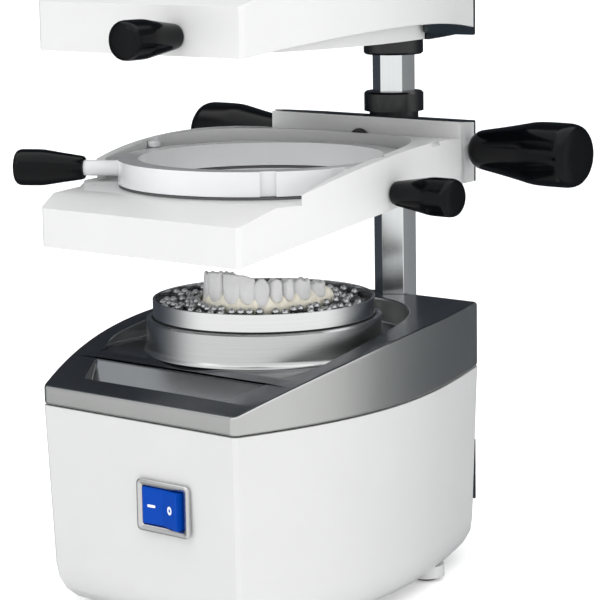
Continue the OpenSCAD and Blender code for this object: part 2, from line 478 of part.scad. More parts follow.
module carrier_rear_cover() color("#202326") placed() difference() {
  intersection() {
    translate([0, 0, 195]) linear_extrude(50) polygon(plan(0.4));
    side_solid(concat([[shell_end_y + 0.25, arc_z(shell_end_y, 60, 201.9, 530)], [shell_end_y + 0.25, block_top(shell_end_y) + 0.1], [carrier_block_y + 1.4, block_top(carrier_block_y) - 0.04], [carrier_block_y + 1.4, block_top(carrier_block_y) + 0.6], [carrier_block_y + 8, block_top(carrier_block_y) + 0.2]],
      [for (i = [0 : 6]) let(a = 6 + 84 * i / 6) [rear_reach - 12.4 + 12 * sin(a), 218.4 + 12 * cos(a)]],
      [[rear_reach - 0.4, arc_z(rear_reach, 60, 201.9, 530)]]));
  }
  // hollow
  intersection() {
    translate([0, 0, 190]) linear_extrude(50) intersection() { polygon(plan(0.4 + wall)); translate([-90, 70]) square([180, 50]); }
    side_solid([[70, 180], [70, 229], [shell_end_y + 0.25, 227.4], [rear_reach - 12.4, 227.2], [rear_reach - 6, 224], [rear_reach, 216], [rear_reach, 180]]);
  }
  at_column(190) cylinder(r = 12.75, h = 60, $fn = 96);
  translate([-90, handle_y, handle_z]) rotate([0, 90, 0]) cylinder(r = 4.1, h = 180, $fn = 40);
}
module slide_bush() color("#121315") placed() at_column(202.4) difference() {
  union() { cylinder(r = 12.6, h = 32, $fn = 96); translate([0, 0, 31]) cylinder(r = collar_r, h = 9, $fn = 96); translate([0, 0, 40]) cylinder(r1 = collar_r, r2 = collar_r - 1, h = 1, $fn = 96); }
  translate([0, 0, -1]) hex(column_r + 0.3, 60);
  translate([-2, 0, 17.2]) rotate([90, 0, 0]) cylinder(r = 3, h = 40, $fn = 32);
}
module friction_screw() color("#2b2d30") placed() translate([-2, carrier_block_y, 219.6]) rotate([-90, 0, 0]) {
  translate([0, 0, -2]) cylinder(r = 6.5, h = 2, $fn = 48);
  translate([0, 0, -0.01]) cylinder(r = 2.95, h = 13.6, $fn = 32);
}
module handle_studs() color("silver") placed() for (s = [-1, 1]) translate([s * 39, handle_y, handle_z]) rotate([0, s * 90, 0]) { cylinder(r = 3.98, h = 38, $fn = 40); translate([0, 0, 19.4]) cylinder(r = 5.2, h = handle_root - 39 - 19.45, $fn = 48); }
module side_handle(s) translate([s * handle_root, handle_y, handle_z]) rotate([0, s * 90, 0]) difference() { big_grip(); translate([0, 0, -1]) cylinder(r = 4, h = 18.5, $fn = 40); }
module left_handle() color("#111214") placed() side_handle(-1);
module right_handle() color("#111214") placed() side_handle(1);
module side_grip() color("#111214") placed() translate([79.4, grip_y, grip_z]) rotate([0, 90, 0]) difference() { small_grip(); translate([0, 0, -1]) cylinder(r = 3, h = 19, $fn = 32); }
module side_grip_stud() color("silver") placed() translate([73.2, grip_y, grip_z]) rotate([0, 90, 0]) cylinder(r = 2.98, h = 24, $fn = 32);
module sheet_gasket() color("#d9d6cf") placed() translate([0, 0, pocket_z + 0.02]) difference() { cylinder(r = 69, h = 1.15, $fn = 160); translate([0, 0, -1]) cylinder(r = sheet_r, h = 4, $fn = 128); }
module ring_buttons() color("whitesmoke") placed() for (a = [0, 180]) rotate([0, 0, a]) translate([71, 0, 0]) {
  translate([0, 0, pocket_z - 2.9]) cylinder(r = 1.19, h = ring_top - pocket_z + 3.4, $fn = 24);
  translate([0, 0, ring_top + 0.4]) cylinder(r = 3.2, h = 2.6, $fn = 40);
}

// ---------- clamp ring ----------
module clamp_ring() color("white") placed() difference() {
  translate([0, 0, ring_bottom]) cylinder(r = ring_r, h = ring_h, $fn = 192);
  translate([0, 0, ring_bottom - 1]) cylinder(r = sheet_r, h = ring_h + 2, $fn = 160);
  // bayonet notches
  for (a = [162, 313.5, 342]) rotate([0, 0, a]) translate([67.1, -3.7, ring_bottom - 1]) cube([10, 7.4, ring_h + 2]);
  // socket of the lever
  rotate([0, 0, lever_angle]) translate([0, 0, ring_bottom + 4.9]) rotate([0, 90, 0]) cylinder(r = 2.5, h = 100, $fn = 32);
}
module lever_rod() color("whitesmoke") placed() rotate([0, 0, lever_angle]) translate([0, 0, ring_bottom + 4.9]) rotate([0, 90, 0]) { translate([0, 0, 62]) cylinder(r = 2.48, h = 10, $fn = 32); translate([0, 0, ring_r + 0.05]) cylinder(r = 3.9, h = 19.6, $fn = 40); translate([0, 0, 88]) cylinder(r = 2.98, h = 17, $fn = 32); }
module lever_grip() color("#111214") placed() rotate([0, 0, lever_angle]) translate([0, 0, ring_bottom + 4.9]) rotate([0, 90, 0]) translate([0, 0, 89]) difference() { small_grip(); translate([0, 0, -1]) cylinder(r = 3, h = 18, $fn = 32); }

// ---------- tray ----------
module pellet_tray() color("#c2c5c7") placed() difference() {
  union() {
    translate([0, 0, platform_top + 0.05]) cylinder(r = tray_r - 0.5, h = 0.5, $fn = 160);
    translate([0, 0, platform_top + 0.55]) cylinder(r = tray_r, h = tray_rim - platform_top - 0.55, $fn = 160);
  }
  translate([0, 0, platform_top + 1.4]) cylinder(r = tray_r - 1.3, h = 20, $fn = 160);
}
module steel_pellets() color("#8f9496") placed() translate([0, 0, platform_top + 1.45]) cylinder(r = tray_r - 1.7, h = 5.6, $fn = 96);
// Horseshoe cast: plaster base with a row of rounded teeth
module arch(r0, r1, h) linear_extrude(h) difference() {
  union() { circle(r = r1, $fn = 64); translate([-r1, 0]) square([2 * r1, 17]); }
  circle(r = r0, $fn = 64);
  translate([-r0, 0]) square([2 * r0, 30]);
}
module dental_cast() color("#e8e2cf") placed() translate([3, -6, platform_top + 7.1]) {
  arch(20, 36.5, 8);
  translate([0, 0, 7.9]) arch(25, 35.8, 11);
}

base_shell();
top_cover();
rear_panel();
rubber_feet();
vacuum_platform();
platform_gasket();
platform_screws();
suction_sleeve();
fan_casing();
motor_can();
stator_core();
motor_rotor();
motor_shaft();
impeller();
motor_bearings();
motor_bracket();
bracket_screws();
switch_bezel();
switch_body();
switch_rocker();
power_inlet();
inlet_pins();
fuse_cap();
column();
column_plate();
column_nut();
case_bolts();
pivot_spindle();
spindle_nut();
head_shell();
head_rear_cover();
heater_housing();
reflector();
heating_element();
ceramic_posts();
insulation_pad();
head_arm();
head_bush();
upper_collar();
head_grip();
head_grip_stud();
head_screws();
carrier_frame();
carrier_rear_cover();
slide_bush();
friction_screw();
handle_studs();
left_handle();
right_handle();
side_grip();
side_grip_stud();
sheet_gasket();
ring_buttons();
clamp_ring();
lever_rod();
lever_grip();
pellet_tray();
steel_pellets();
dental_cast();
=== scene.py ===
import bpy
import bmesh
import json
import math
import random
from mathutils import Matrix, Vector


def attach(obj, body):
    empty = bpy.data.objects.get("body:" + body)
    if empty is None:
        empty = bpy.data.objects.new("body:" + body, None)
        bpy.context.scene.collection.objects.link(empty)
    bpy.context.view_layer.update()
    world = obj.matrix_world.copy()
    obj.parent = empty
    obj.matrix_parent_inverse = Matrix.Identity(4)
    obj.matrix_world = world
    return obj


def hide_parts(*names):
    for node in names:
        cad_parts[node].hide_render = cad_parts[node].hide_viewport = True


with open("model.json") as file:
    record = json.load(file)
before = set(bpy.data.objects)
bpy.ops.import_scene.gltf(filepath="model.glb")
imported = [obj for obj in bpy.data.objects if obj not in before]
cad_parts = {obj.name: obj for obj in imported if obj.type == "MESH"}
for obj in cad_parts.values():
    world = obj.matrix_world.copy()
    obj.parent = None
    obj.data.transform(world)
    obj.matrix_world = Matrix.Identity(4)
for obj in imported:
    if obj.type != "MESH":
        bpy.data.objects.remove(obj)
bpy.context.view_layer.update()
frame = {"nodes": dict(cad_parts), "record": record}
nodes = frame["nodes"]
scene = bpy.context.scene
random.seed(7)

ZS = -2.0               # heights in the meshes below are counted from 2 mm under the table
MM = 0.001


# ------------------------------------------------------------------ materials
def new_mat(name):
    m = bpy.data.materials.new(name)
    m.use_nodes = True
    nt = m.node_tree
    b = nt.nodes["Principled BSDF"]
    return m, nt, b


def tex_coord(nt, scale=(1, 1, 1)):
    tc = nt.nodes.new("ShaderNodeTexCoord")
    mp = nt.nodes.new("ShaderNodeMapping")
    mp.inputs["Scale"].default_value = scale
    nt.links.new(tc.outputs["Object"], mp.inputs["Vector"])
    return mp.outputs["Vector"]


def noise(nt, vec, scale, detail=3.0, rough=0.5):
    n = nt.nodes.new("ShaderNodeTexNoise")
    n.inputs["Scale"].default_value = scale
    n.inputs["Detail"].default_value = detail
    n.inputs["Roughness"].default_value = rough
    nt.links.new(vec, n.inputs["Vector"])
    return n.outputs["Fac"]


def ramp(nt, fac, stops):
    r = nt.nodes.new("ShaderNodeValToRGB")
    e = r.color_ramp.elements
    e[0].position, e[0].color = stops[0][0], stops[0][1] + (1,)
    e[1].position, e[1].color = stops[-1][0], stops[-1][1] + (1,)
    for p, c in stops[1:-1]:
        k = e.new(p)
        k.color = c + (1,)
    nt.links.new(fac, r.inputs["Fac"])
    return r.outputs["Color"]


def remap(nt, fac, lo, hi):
    r = nt.nodes.new("ShaderNodeMapRange")
    r.inputs["To Min"].default_value = lo
    r.inputs["To Max"].default_value = hi
    nt.links.new(fac, r.inputs["Value"])
    return r.outputs["Result"]


def bump(nt, b, height, strength, dist=0.0002):
    n = nt.nodes.new("ShaderNodeBump")
    n.inputs["Strength"].default_value = strength
    n.inputs["Distance"].default_value = dist
    nt.links.new(height, n.inputs["Height"])
    nt.links.new(n.outputs["Normal"], b.inputs["Normal"])


def shade(c, f):
    return tuple(max(0.0, min(1.0, x * f)) for x in c)


def coated(name, color, rough, peel=0.06, vary=0.03, coat=0.0, scale=900.0, metallic=0.0, spec=0.5):
    """Painted or moulded surface: faint colour drift, fine texture in gloss and in the normal."""
    m, nt, b = new_mat(name)
    v = tex_coord(nt)
    n1 = noise(nt, v, 35.0, 4)
    nt.links.new(ramp(nt, n1, [(0.3, shade(color, 1 - vary)), (0.7, shade(color, 1 + vary))]), b.inputs["Base Color"])
    n2 = noise(nt, v, scale, 2)
    nt.links.new(remap(nt, n1, rough * 0.9, rough * 1.1), b.inputs["Roughness"])
    b.inputs["Metallic"].default_value = metallic
    b.inputs["Specular IOR Level"].default_value = spec
    if coat:
        b.inputs["Coat Weight"].default_value = coat
        b.inputs["Coat Roughness"].default_value = 0.06
    bump(nt, b, n2, peel, 0.0001)
    return m


def lathe_metal(name, color, rough, axis=(0.0, 0.0), fine=2600.0, strength=0.12):
    """Turned metal: fine rings round a vertical axis, in colour, gloss and normal."""
    m, nt, b = new_mat(name)
    tc = nt.nodes.new("ShaderNodeTexCoord")
    sep = nt.nodes.new("ShaderNodeSeparateXYZ")
    nt.links.new(tc.outputs["Object"], sep.inputs[0])

    def mth(op, a, c=None):
        n = nt.nodes.new("ShaderNodeMath")
        n.operation = op
        for i, s in enumerate((a, c)):
            if s is None:
                continue
            if isinstance(s, (int, float)):
                n.inputs[i].default_value = s
            else:
                nt.links.new(s, n.inputs[i])
        return n.outputs[0]
    dx = mth("SUBTRACT", sep.outputs["X"], axis[0])
    dy = mth("SUBTRACT", sep.outputs["Y"], axis[1])
    r = mth("SQRT", mth("ADD", mth("MULTIPLY", dx, dx), mth("MULTIPLY", dy, dy)))
    comb = nt.nodes.new("ShaderNodeCombineXYZ")
    nt.links.new(mth("MULTIPLY", r, fine), comb.inputs[0])
    nt.links.new(mth("MULTIPLY", sep.outputs["Z"], fine), comb.inputs[1])
    nt.links.new(mth("MULTIPLY", dx, 14.0), comb.inputs[2])
    n1 = noise(nt, comb.outputs[0], 1.0, 3, 0.6)
    n2 = noise(nt, tc.outputs["Object"], 45.0, 3)
    nt.links.new(ramp(nt, n1, [(0.25, shade(color, 0.955)), (0.75, shade(color, 1.03))]), b.inputs["Base Color"])
    nt.links.new(remap(nt, n2, rough * 0.85, rough * 1.2), b.inputs["Roughness"])
    b.inputs["Metallic"].default_value = 1.0
    bump(nt, b, n1, strength, 0.00006)
    return m


def drawn_metal(name, color, rough, stretch=(1800.0, 1800.0, 25.0), strength=0.08, metallic=1.0, lo=0.9, hi=1.05):
    """Drawn or brushed metal: long fine lines along one direction."""
    m, nt, b = new_mat(name)
    v = tex_coord(nt, stretch)
    n1 = noise(nt, v, 1.0, 4, 0.6)
    v2 = tex_coord(nt)
    n2 = noise(nt, v2, 60.0, 2)
    nt.links.new(ramp(nt, n1, [(0.25, shade(color, lo)), (0.75, shade(color, hi))]), b.inputs["Base Color"])
    nt.links.new(remap(nt, n2, rough * 0.85, rough * 1.2), b.inputs["Roughness"])
    b.inputs["Metallic"].default_value = metallic
    bump(nt, b, n1, strength, 0.00006)
    return m


def grainy(name, color, rough, scale=420.0, vary=0.12, strength=0.3, dist=0.0002, spec=0.4):
    """Matt grained surface: stone, plaster, rubber, cast plastic, wool."""
    m, nt, b = new_mat(name)
    v = tex_coord(nt)
    n1 = noise(nt, v, scale * 0.15, 5)
    n2 = noise(nt, v, scale, 4, 0.65)
    nt.links.new(ramp(nt, n1, [(0.3, shade(color, 1 - vary)), (0.7, shade(color, 1 + vary))]), b.inputs["Base Color"])
    nt.links.new(remap(nt, n2, rough * 0.85, min(1.0, rough * 1.1)), b.inputs["Roughness"])
    b.inputs["Specular IOR Level"].default_value = spec
    bump(nt, b, n2, strength, dist)
    return m


def cover_paint_with_painted_shade(name, side, top, rough):
    """Metallic paint, silver, with painted shade: faces that look up are darkened to slate by their normal."""
    m, nt, b = new_mat(name)
    v = tex_coord(nt)
    n1 = noise(nt, v, 40.0, 4)
    sides = ramp(nt, n1, [(0.3, shade(side, 0.98)), (0.7, shade(side, 1.02))])
    painted_shade_tops = ramp(nt, n1, [(0.3, shade(top, 0.96)), (0.7, shade(top, 1.04))])
    tc = nt.nodes.new("ShaderNodeTexCoord")
    sep = nt.nodes.new("ShaderNodeSeparateXYZ")
    nt.links.new(tc.outputs["Normal"], sep.inputs[0])
    # painted shade mask: the more a face's normal points up, the more it takes the dark slate colour
    mr = nt.nodes.new("ShaderNodeMapRange")
    mr.interpolation_type = "SMOOTHSTEP"
    mr.inputs["From Min"].default_value = 0.63
    mr.inputs["From Max"].default_value = 0.75
    nt.links.new(sep.outputs["Z"], mr.inputs["Value"])
    mx = nt.nodes.new("ShaderNodeMixRGB")
    nt.links.new(mr.outputs["Result"], mx.inputs["Fac"])
    nt.links.new(sides, mx.inputs["Color1"])
    nt.links.new(painted_shade_tops, mx.inputs["Color2"])
    nt.links.new(mx.outputs["Color"], b.inputs["Base Color"])
    nt.links.new(remap(nt, n1, rough * 0.9, rough * 1.1), b.inputs["Roughness"])
    b.inputs["Metallic"].default_value = 0.88
    return m


M = {
    "tub_white": coated("tub_white", (0.585, 0.587, 0.588), 0.36, 0.05, 0.012, coat=0.12),
    "white_paint": coated("white_paint", (0.66, 0.662, 0.663), 0.32, 0.05, 0.010, coat=0.15),
    # grey cover: the second colour is painted shade, laid on the faces that look up
    "grey_cover": cover_paint_with_painted_shade("grey_cover", (0.475, 0.483, 0.475), (0.105, 0.113, 0.125), 0.22),
    "dark_panel": coated("dark_panel", (0.010, 0.017, 0.022), 0.26, 0.05, 0.06),
    "black_rubber": grainy("black_rubber", (0.018, 0.018, 0.018), 0.72, 900.0),
    "zinc_steel": drawn_metal("zinc_steel", (0.62, 0.63, 0.64), 0.34, (300.0, 300.0, 300.0), 0.1),
    "turned_aluminium": lathe_metal("turned_aluminium", (0.53, 0.535, 0.54), 0.25, strength=0.035),
    "pale_silicone": grainy("pale_silicone", (0.03, 0.03, 0.032), 0.55, 700.0, 0.05),
    "sheet_aluminium": drawn_metal("sheet_aluminium", (0.68, 0.69, 0.70), 0.36, (200.0, 900.0, 900.0)),
    "motor_steel": coated("motor_steel", (0.20, 0.22, 0.24), 0.45, 0.1, 0.05),
    "laminated_steel": drawn_metal("laminated_steel", (0.32, 0.32, 0.33), 0.5, (20.0, 20.0, 2600.0), 0.25),
    "copper_windings": drawn_metal("copper_windings", (0.62, 0.27, 0.11), 0.35, (20.0, 20.0, 1500.0), 0.3),
    "polished_steel": drawn_metal("polished_steel", (0.70, 0.71, 0.72), 0.15, (120.0, 120.0, 1400.0)),
    "bezel_grey": coated("bezel_grey", (0.55, 0.553, 0.556), 0.24, 0.03, 0.03, metallic=0.95),
    "black_plastic": coated("black_plastic", (0.014, 0.015, 0.017), 0.42, 0.12, 0.06),
    "blue_rocker": coated("blue_rocker", (0.0, 0.050, 0.36), 0.36, 0.02, 0.05, spec=0.08),
    "column_steel": drawn_metal("column_steel", (0.70, 0.72, 0.735), 0.17, (1400.0, 1400.0, 10.0), 0.006, lo=0.975, hi=1.015),
    "bronze": drawn_metal("bronze", (0.56, 0.36, 0.14), 0.4, (200.0, 200.0, 1200.0)),
    "reflector_alloy": lathe_metal("reflector_alloy", (0.86, 0.86, 0.86), 0.16),
    "heater_sheath": grainy("heater_sheath", (0.16, 0.13, 0.12), 0.5, 800.0, 0.2, spec=0.6),
    "ceramic": grainy("ceramic", (0.80, 0.76, 0.68), 0.55, 500.0, 0.05, 0.15),
    "mineral_wool": grainy("mineral_wool", (0.76, 0.72, 0.62), 0.95, 300.0, 0.15, 0.9, 0.0006),
    "black_acetal": coated("black_acetal", (0.006, 0.007, 0.009), 0.22, 0.03, 0.06),
    "black_grip": coated("black_grip", (0.0015, 0.0018, 0.0025), 0.13, 0.02, 0.05, spec=0.14),
    "white_plastic": coated("white_plastic", (0.78, 0.79, 0.80), 0.26, 0.03, 0.01, coat=0.2),
    "ring_white": coated("ring_white", (0.76, 0.77, 0.78), 0.22, 0.03, 0.012, coat=0.4),
    "tray_aluminium": lathe_metal("tray_aluminium", (0.72, 0.725, 0.73), 0.22, strength=0.035),
    "pellet_steel": drawn_metal("pellet_steel", (0.56, 0.57, 0.58), 0.26, (300.0, 300.0, 300.0), 0.02),
    "dental_stone": grainy("dental_stone", (0.93, 0.885, 0.76), 0.8, 900.0, 0.08, 0.5),
}
CROWN = grainy("crown_stone", (0.69, 0.69, 0.695), 0.5, 500.0, 0.05, 0.2)
# lower pellet layer: the same steel darkened as painted shade
PELLET_PAINTED_SHADE = drawn_metal("pellet_steel_shaded", (0.13, 0.13, 0.135), 0.3, (300.0, 300.0, 300.0), 0.02)
GASKET = grainy("gasket_grey", (0.10, 0.10, 0.105), 0.6, 700.0, 0.05)
MARK = coated("mark_ink", (0.86, 0.90, 0.93), 0.4, 0.05, 0.02)
slot_of = {s["node"]: s["material_slot"] for s in frame["record"]["subparts"]}


def finish_node(name, width=0.0004, angle=28, seg=2):
    """Carried-over solid: flat faces joined up, edges softened, smooth shading, procedural material."""
    o = nodes[name]
    me = o.data
    me.materials.clear()
    me.materials.append(M[slot_of[name]])
    for p in me.polygons:
        p.use_smooth = True
        p.material_index = 0
    w = o.modifiers.new("weld", "WELD")
    w.merge_threshold = 0.000008
    d = o.modifiers.new("planar", "DECIMATE")
    d.decimate_type = "DISSOLVE"
    d.angle_limit = math.radians(0.25)
    if width:
        b = o.modifiers.new("bevel", "BEVEL")
        b.width = width
        b.segments = seg
        b.limit_method = "ANGLE"
        b.angle_limit = math.radians(angle)
        b.harden_normals = True
        b.use_clamp_overlap = name != "top_cover"
    n = o.modifiers.new("normals", "WEIGHTED_NORMAL")
    n.keep_sharp = True
    n.weight = 50


BEVELS = {"base_shell": 0.0009, "top_cover": 0.0013, "head_shell": 0.0010, "carrier_frame": 0.0006,
          "clamp_ring": 0.0006, "head_rear_cover": 0.0006, "carrier_rear_cover": 0.0006, "column": 0.0003,
          "vacuum_platform": 0.0003, "pellet_tray": 0.0003, "heater_housing": 0.0006}
for nm in nodes:
    finish_node(nm, BEVELS.get(nm, 0.0003))
nodes["sheet_gasket"].data.materials[0] = GASKET


# ------------------------------------------------------------------ mesh helpers
def mesh_obj(name, verts, faces, slot, body, replaces=(), mats=None, face_mats=None, smooth=True):
    me = bpy.data.meshes.new(name)
    me.from_pydata([(v[0] * MM, v[1] * MM, (v[2] + ZS) * MM) for v in verts], [], faces)
    me.update()
    o = bpy.data.objects.new(name, me)
    scene.collection.objects.link(o)
    for m in (mats or [M[slot]]):
        me.materials.append(m)
    for i, p in enumerate(me.polygons):
        p.use_smooth = smooth
        if face_mats:
            p.material_index = face_mats[i]
    bmn = bmesh.new()
    bmn.from_mesh(me)
    bmesh.ops.recalc_face_normals(bmn, faces=bmn.faces)
    bmn.to_mesh(me)
    bmn.free()
    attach(o, body)
    if replaces:
        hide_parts(*replaces)
    return o


def soften(o, width, seg=2, angle=30):
    b = o.modifiers.new("bevel", "BEVEL")
    b.width = width
    b.segments = seg
    b.limit_method = "ANGLE"
    b.angle_limit = math.radians(angle)
    b.harden_normals = True
    n = o.modifiers.new("normals", "WEIGHTED_NORMAL")
    n.keep_sharp = True
    return o


def spline(pts, n=6, closed=False):
    """Catmull-Rom curve through points."""
    out = []
    p = ([pts[-1]] + list(pts) + [pts[0], pts[1]]) if closed else ([pts[0]] + list(pts) + [pts[-1]])
    for i in range(1, len(p) - 2):
        for k in range(n):
            t = k / n
            out.append(tuple(0.5 * (2 * p[i][a] + (p[i + 1][a] - p[i - 1][a]) * t
                             + (2 * p[i - 1][a] - 5 * p[i][a] + 4 * p[i + 1][a] - p[i + 2][a]) * t * t
                             + (3 * p[i][a] - p[i - 1][a] - 3 * p[i + 1][a] + p[i + 2][a]) * t ** 3)
                             for a in range(len(p[i]))))
    if not closed:
        out.append(tuple(pts[-1]))
    return out


def loft(rings, caps=True, closed_u=True):
    """Quads between rings of equal length; the first and last ring are capped."""
    verts, faces = [], []
    n = len(rings[0])
    for r in rings:
        verts += list(r)
    for i in range(len(rings) - 1):
        for k in range(n if closed_u else n - 1):
            k2 = (k + 1) % n
            faces.append((i * n + k, i * n + k2, (i + 1) * n + k2, (i + 1) * n + k))
    if caps:
        faces.append(tuple(range(n - 1, -1, -1)))
        faces.append(tuple((len(rings) - 1) * n + k for k in range(n)))
    return verts, faces


def merge(parts):
    verts, faces = [], []
    for v, f in parts:
        o = len(verts)
        verts += v
        faces += [tuple(q + o for q in t) for t in f]
    return verts, faces


def lathe(profile, origin, axis, segs=64):
    """Closed solid of revolution: profile is [(r, t)] from axis to axis, in mm."""
    ax = Vector(axis).normalized()
    ref = Vector((0, 0, 1)) if abs(ax.z) < 0.9 else Vector((1, 0, 0))
    u = ax.cross(ref).normalized()
    v = ax.cross(u).normalized()
    o = Vector(origin)
    verts, faces, rings = [], [], []
    for r, t in profile:
        c = o + ax * t
        if r < 1e-4:
            rings.append([len(verts)])
            verts.append(tuple(c))
        else:
            ring = []
            for k in range(segs):
                a = 2 * math.pi * k / segs
                ring.append(len(verts))
                verts.append(tuple(c + (u * math.cos(a) + v * math.sin(a)) * r))
            rings.append(ring)
    for a, b in zip(rings, rings[1:]):
        if len(a) == 1 and len(b) == 1:
            continue
        for k in range(segs):
            k2 = (k + 1) % segs
            if len(a) == 1:
                faces.append((a[0], b[k], b[k2]))
            elif len(b) == 1:
                faces.append((a[k], b[0], a[k2]))
            else:
                faces.append((a[k], b[k], b[k2], a[k2]))
    return verts, faces


# ------------------------------------------------------------------ grips
def grip_profile(pts, tail):
    """Waisted moulded grip: pts runs from the root outwards, tail closes the end."""
    body = spline(pts, 5)
    return [(0, 0), (pts[0][0] - 0.6, 0), (pts[0][0] - 0.25, 0.08)] + body + tail


SMALL = grip_profile([(5.6, 0.35), (6.0, 2), (6.6, 6), (7.5, 12), (8.5, 18.2), (8.92, 21.5), (9.0, 26), (8.98, 31.5)],
                     [(8.8, 32.8), (8.4, 33.8), (7.7, 34.4), (6.7, 34.75), (4.5, 34.93), (0, 35)])
BIG = grip_profile([(8.2, 0.4), (9.4, 2.4), (10.2, 6), (12.0, 17), (13.8, 27), (15.2, 34.5), (15.62, 40), (15.7, 48), (15.62, 55)],
                   [(15.3, 57.0), (14.7, 58.6), (13.7, 59.7), (12.2, 60.35), (9.5, 60.75), (5.5, 60.95), (0, 61)])


def grip(name, prof, origin, axis, body, segs=72):
    v, f = lathe(prof, origin, axis, segs)
    return mesh_obj(name + "_moulded", v, f, "black_grip", body, (name,))


grip("right_handle", BIG, (60.5, 94, 217.5), (1, 0, 0), "carrier", 96)
grip("left_handle", BIG, (-60.5, 94, 217.5), (-1, 0, 0), "carrier", 96)
grip("side_grip", SMALL, (79.4, 3.8, 206.4), (1, 0, 0), "carrier")
grip("head_grip", SMALL, (24.4, -84.9, 282.5), (0, -1, 0), "head")
LA = math.radians(208.5)
lev = (math.cos(LA), math.sin(LA), 0)
grip("lever_grip", SMALL, (89 * lev[0], 89 * lev[1], 213.1), lev, "ring")


# ------------------------------------------------------------------ dental cast
OUTLINE = [(-31, 11), (-33, 2), (-31.6, -7), (-26.5, -14), (-20, -21.5), (-13, -29.5), (-7.5, -35.8), (-1.5, -40.4), (6, -42.3), (16, -43),
           (25, -41), (31.5, -37), (35.5, -30), (38, -23.5), (39.5, -14), (39.5, -1), (38, 9.5)]
curve = spline(OUTLINE, 10)
arc = [0.0]
for p, q in zip(curve, curve[1:]):
    arc.append(arc[-1] + math.hypot(q[0] - p[0], q[1] - p[1]))


def at_arc(t):
    t = max(0.0, min(arc[-1] - 1e-6, t))
    i = max(k for k in range(len(arc) - 1) if arc[k] <= t)
    f = (t - arc[i]) / (arc[i + 1] - arc[i])
    p, q = curve[i], curve[i + 1]
    x, y = p[0] + (q[0] - p[0]) * f, p[1] + (q[1] - p[1]) * f
    a, b = curve[max(0, i - 3)], curve[min(len(curve) - 1, i + 4)]
    tx, ty = b[0] - a[0], b[1] - a[1]
    l = math.hypot(tx, ty)
    return x, y, tx / l, ty / l          # the inner side is to the left of the direction of travel


def nearest_arc(x, y):
    k = min(range(len(curve)), key=lambda n: (curve[n][0] - x) ** 2 + (curve[n][1] - y) ** 2)
    return arc[k]


# place on the outline, width, depth, gum line, tip, kind
TEETH = [(-32.6, 4, 10.0, 10.0, 154, 159.6, "molar"), (-31.2, -7, 10.6, 10.2, 154, 161.0, "molar"),
         (-26.6, -14, 6.6, 8.4, 154.5, 161.9, "premolar"), (-22.0, -19.5, 6.6, 8.2, 154.5, 162.8, "premolar"),
         (-16.6, -25.6, 7.2, 7.4, 154.6, 163.4, "canine"), (-11.0, -32.0, 7.2, 6.4, 155, 163.6, "incisor"),
         (-5.0, -38.0, 8.0, 6.6, 154.6, 167.4, "incisor"), (4.6, -42, 10.2, 6.8, 154.2, 168.3, "incisor"),
         (15.6, -43, 10.4, 7.0, 154.4, 168.6, "incisor"), (24.8, -41.1, 8.4, 6.8, 155, 168.1, "incisor"),
         (31.4, -37, 7.4, 7.6, 153.0, 166.8, "canine"), (35.6, -30, 6.7, 8.4, 155.6, 165.8, "premolar"),
         (38.0, -23.4, 5.9, 8.4, 155.9, 165.2, "premolar"), (39.4, -13.6, 10.8, 10.2, 155.0, 164.6, "molar"),
         (39.5, -1.8, 11.0, 10.0, 154.8, 162.0, "molar")]
spots = [(nearest_arc(t[0], t[1]),) + t[2:] for t in TEETH]
edges_t = [spots[0][0] - spots[0][1] * 0.55] + [(a[0] + b[0]) * 0.5 for a, b in zip(spots, spots[1:])] + [spots[-1][0] + spots[-1][1] * 0.55]


def gum_phase(t):
    """0 at the middle of a tooth, 1 between two teeth and past the last ones."""
    for i, s0 in enumerate(spots):
        lo, hi = edges_t[i], edges_t[i + 1]
        if lo <= t <= hi:
            h = (s0[0] - lo) if t < s0[0] else (hi - s0[0])
            return min(1.0, abs(t - s0[0]) / max(h, 1e-6))
    return 1.0


rings = []
NS = 190
for i in range(NS + 1):
    t = arc[-1] * i / NS
    x, y, tx, ty = at_arc(t)
    nx, ny = -ty, tx                      # towards the inside
    if i == 0 or i == NS:
        shrink = 0.72
    elif i in (1, NS - 1):
        shrink = 0.9
    elif i in (2, NS - 2):
        shrink = 0.975
    else:
        shrink = 1.0
    ph = gum_phase(t)
    up = 3.4 * ph ** 2.2 - 2.9
    end = min(1.0, min(i, NS - i) / 16.0)
    up = up * end - 1.4 * (1 - end) ** 2
    W = 16.5 - 2.2 * math.exp(-((t - arc[-1] * 0.52) / 26.0) ** 2)
    wob = 0.22 * math.sin(t * 1.9) + 0.16 * math.sin(t * 4.3 + 1.0) + 0.08 * math.sin(t * 9.1)
    sec = [(1.1, 149.0), (0.35, 150.0), (0.05, 151.6), (0.0, 153.2), (0.25, 154.6 + 0.35 * up), (0.7, 156.2 + 0.7 * up),
           (1.5, 157.6 + up), (2.8, 158.6 + up), (4.6, 159.0 + up * 0.8), (7.0, 159.0 + up * 0.5), (9.6, 158.8 + up * 0.4),
           (W - 4.6, 158.0 + up * 0.3), (W - 3.0, 156.6), (W - 1.6, 154.4), (W - 0.6, 152.2), (W - 0.1, 150.2), (W - 0.9, 149.0)]
    ring = []
    for u, z in sec:
        u2 = W * 0.5 + (u - W * 0.5) * shrink + wob * (0.6 if u < 6 else 1.2)
        z2 = 149.0 + (z - 149.0) * (0.35 + 0.65 * shrink if shrink < 1 else 1.0)
        ring.append((x + nx * u2, y + ny * u2, z2))
    rings.append(ring)
gv, gf = loft(rings)
gum = mesh_obj("cast_gums", gv, gf, "dental_stone", "tray", ("dental_cast",))
sub = gum.modifiers.new("subdivision", "SUBSURF")
sub.levels = 1
sub.render_levels = 1


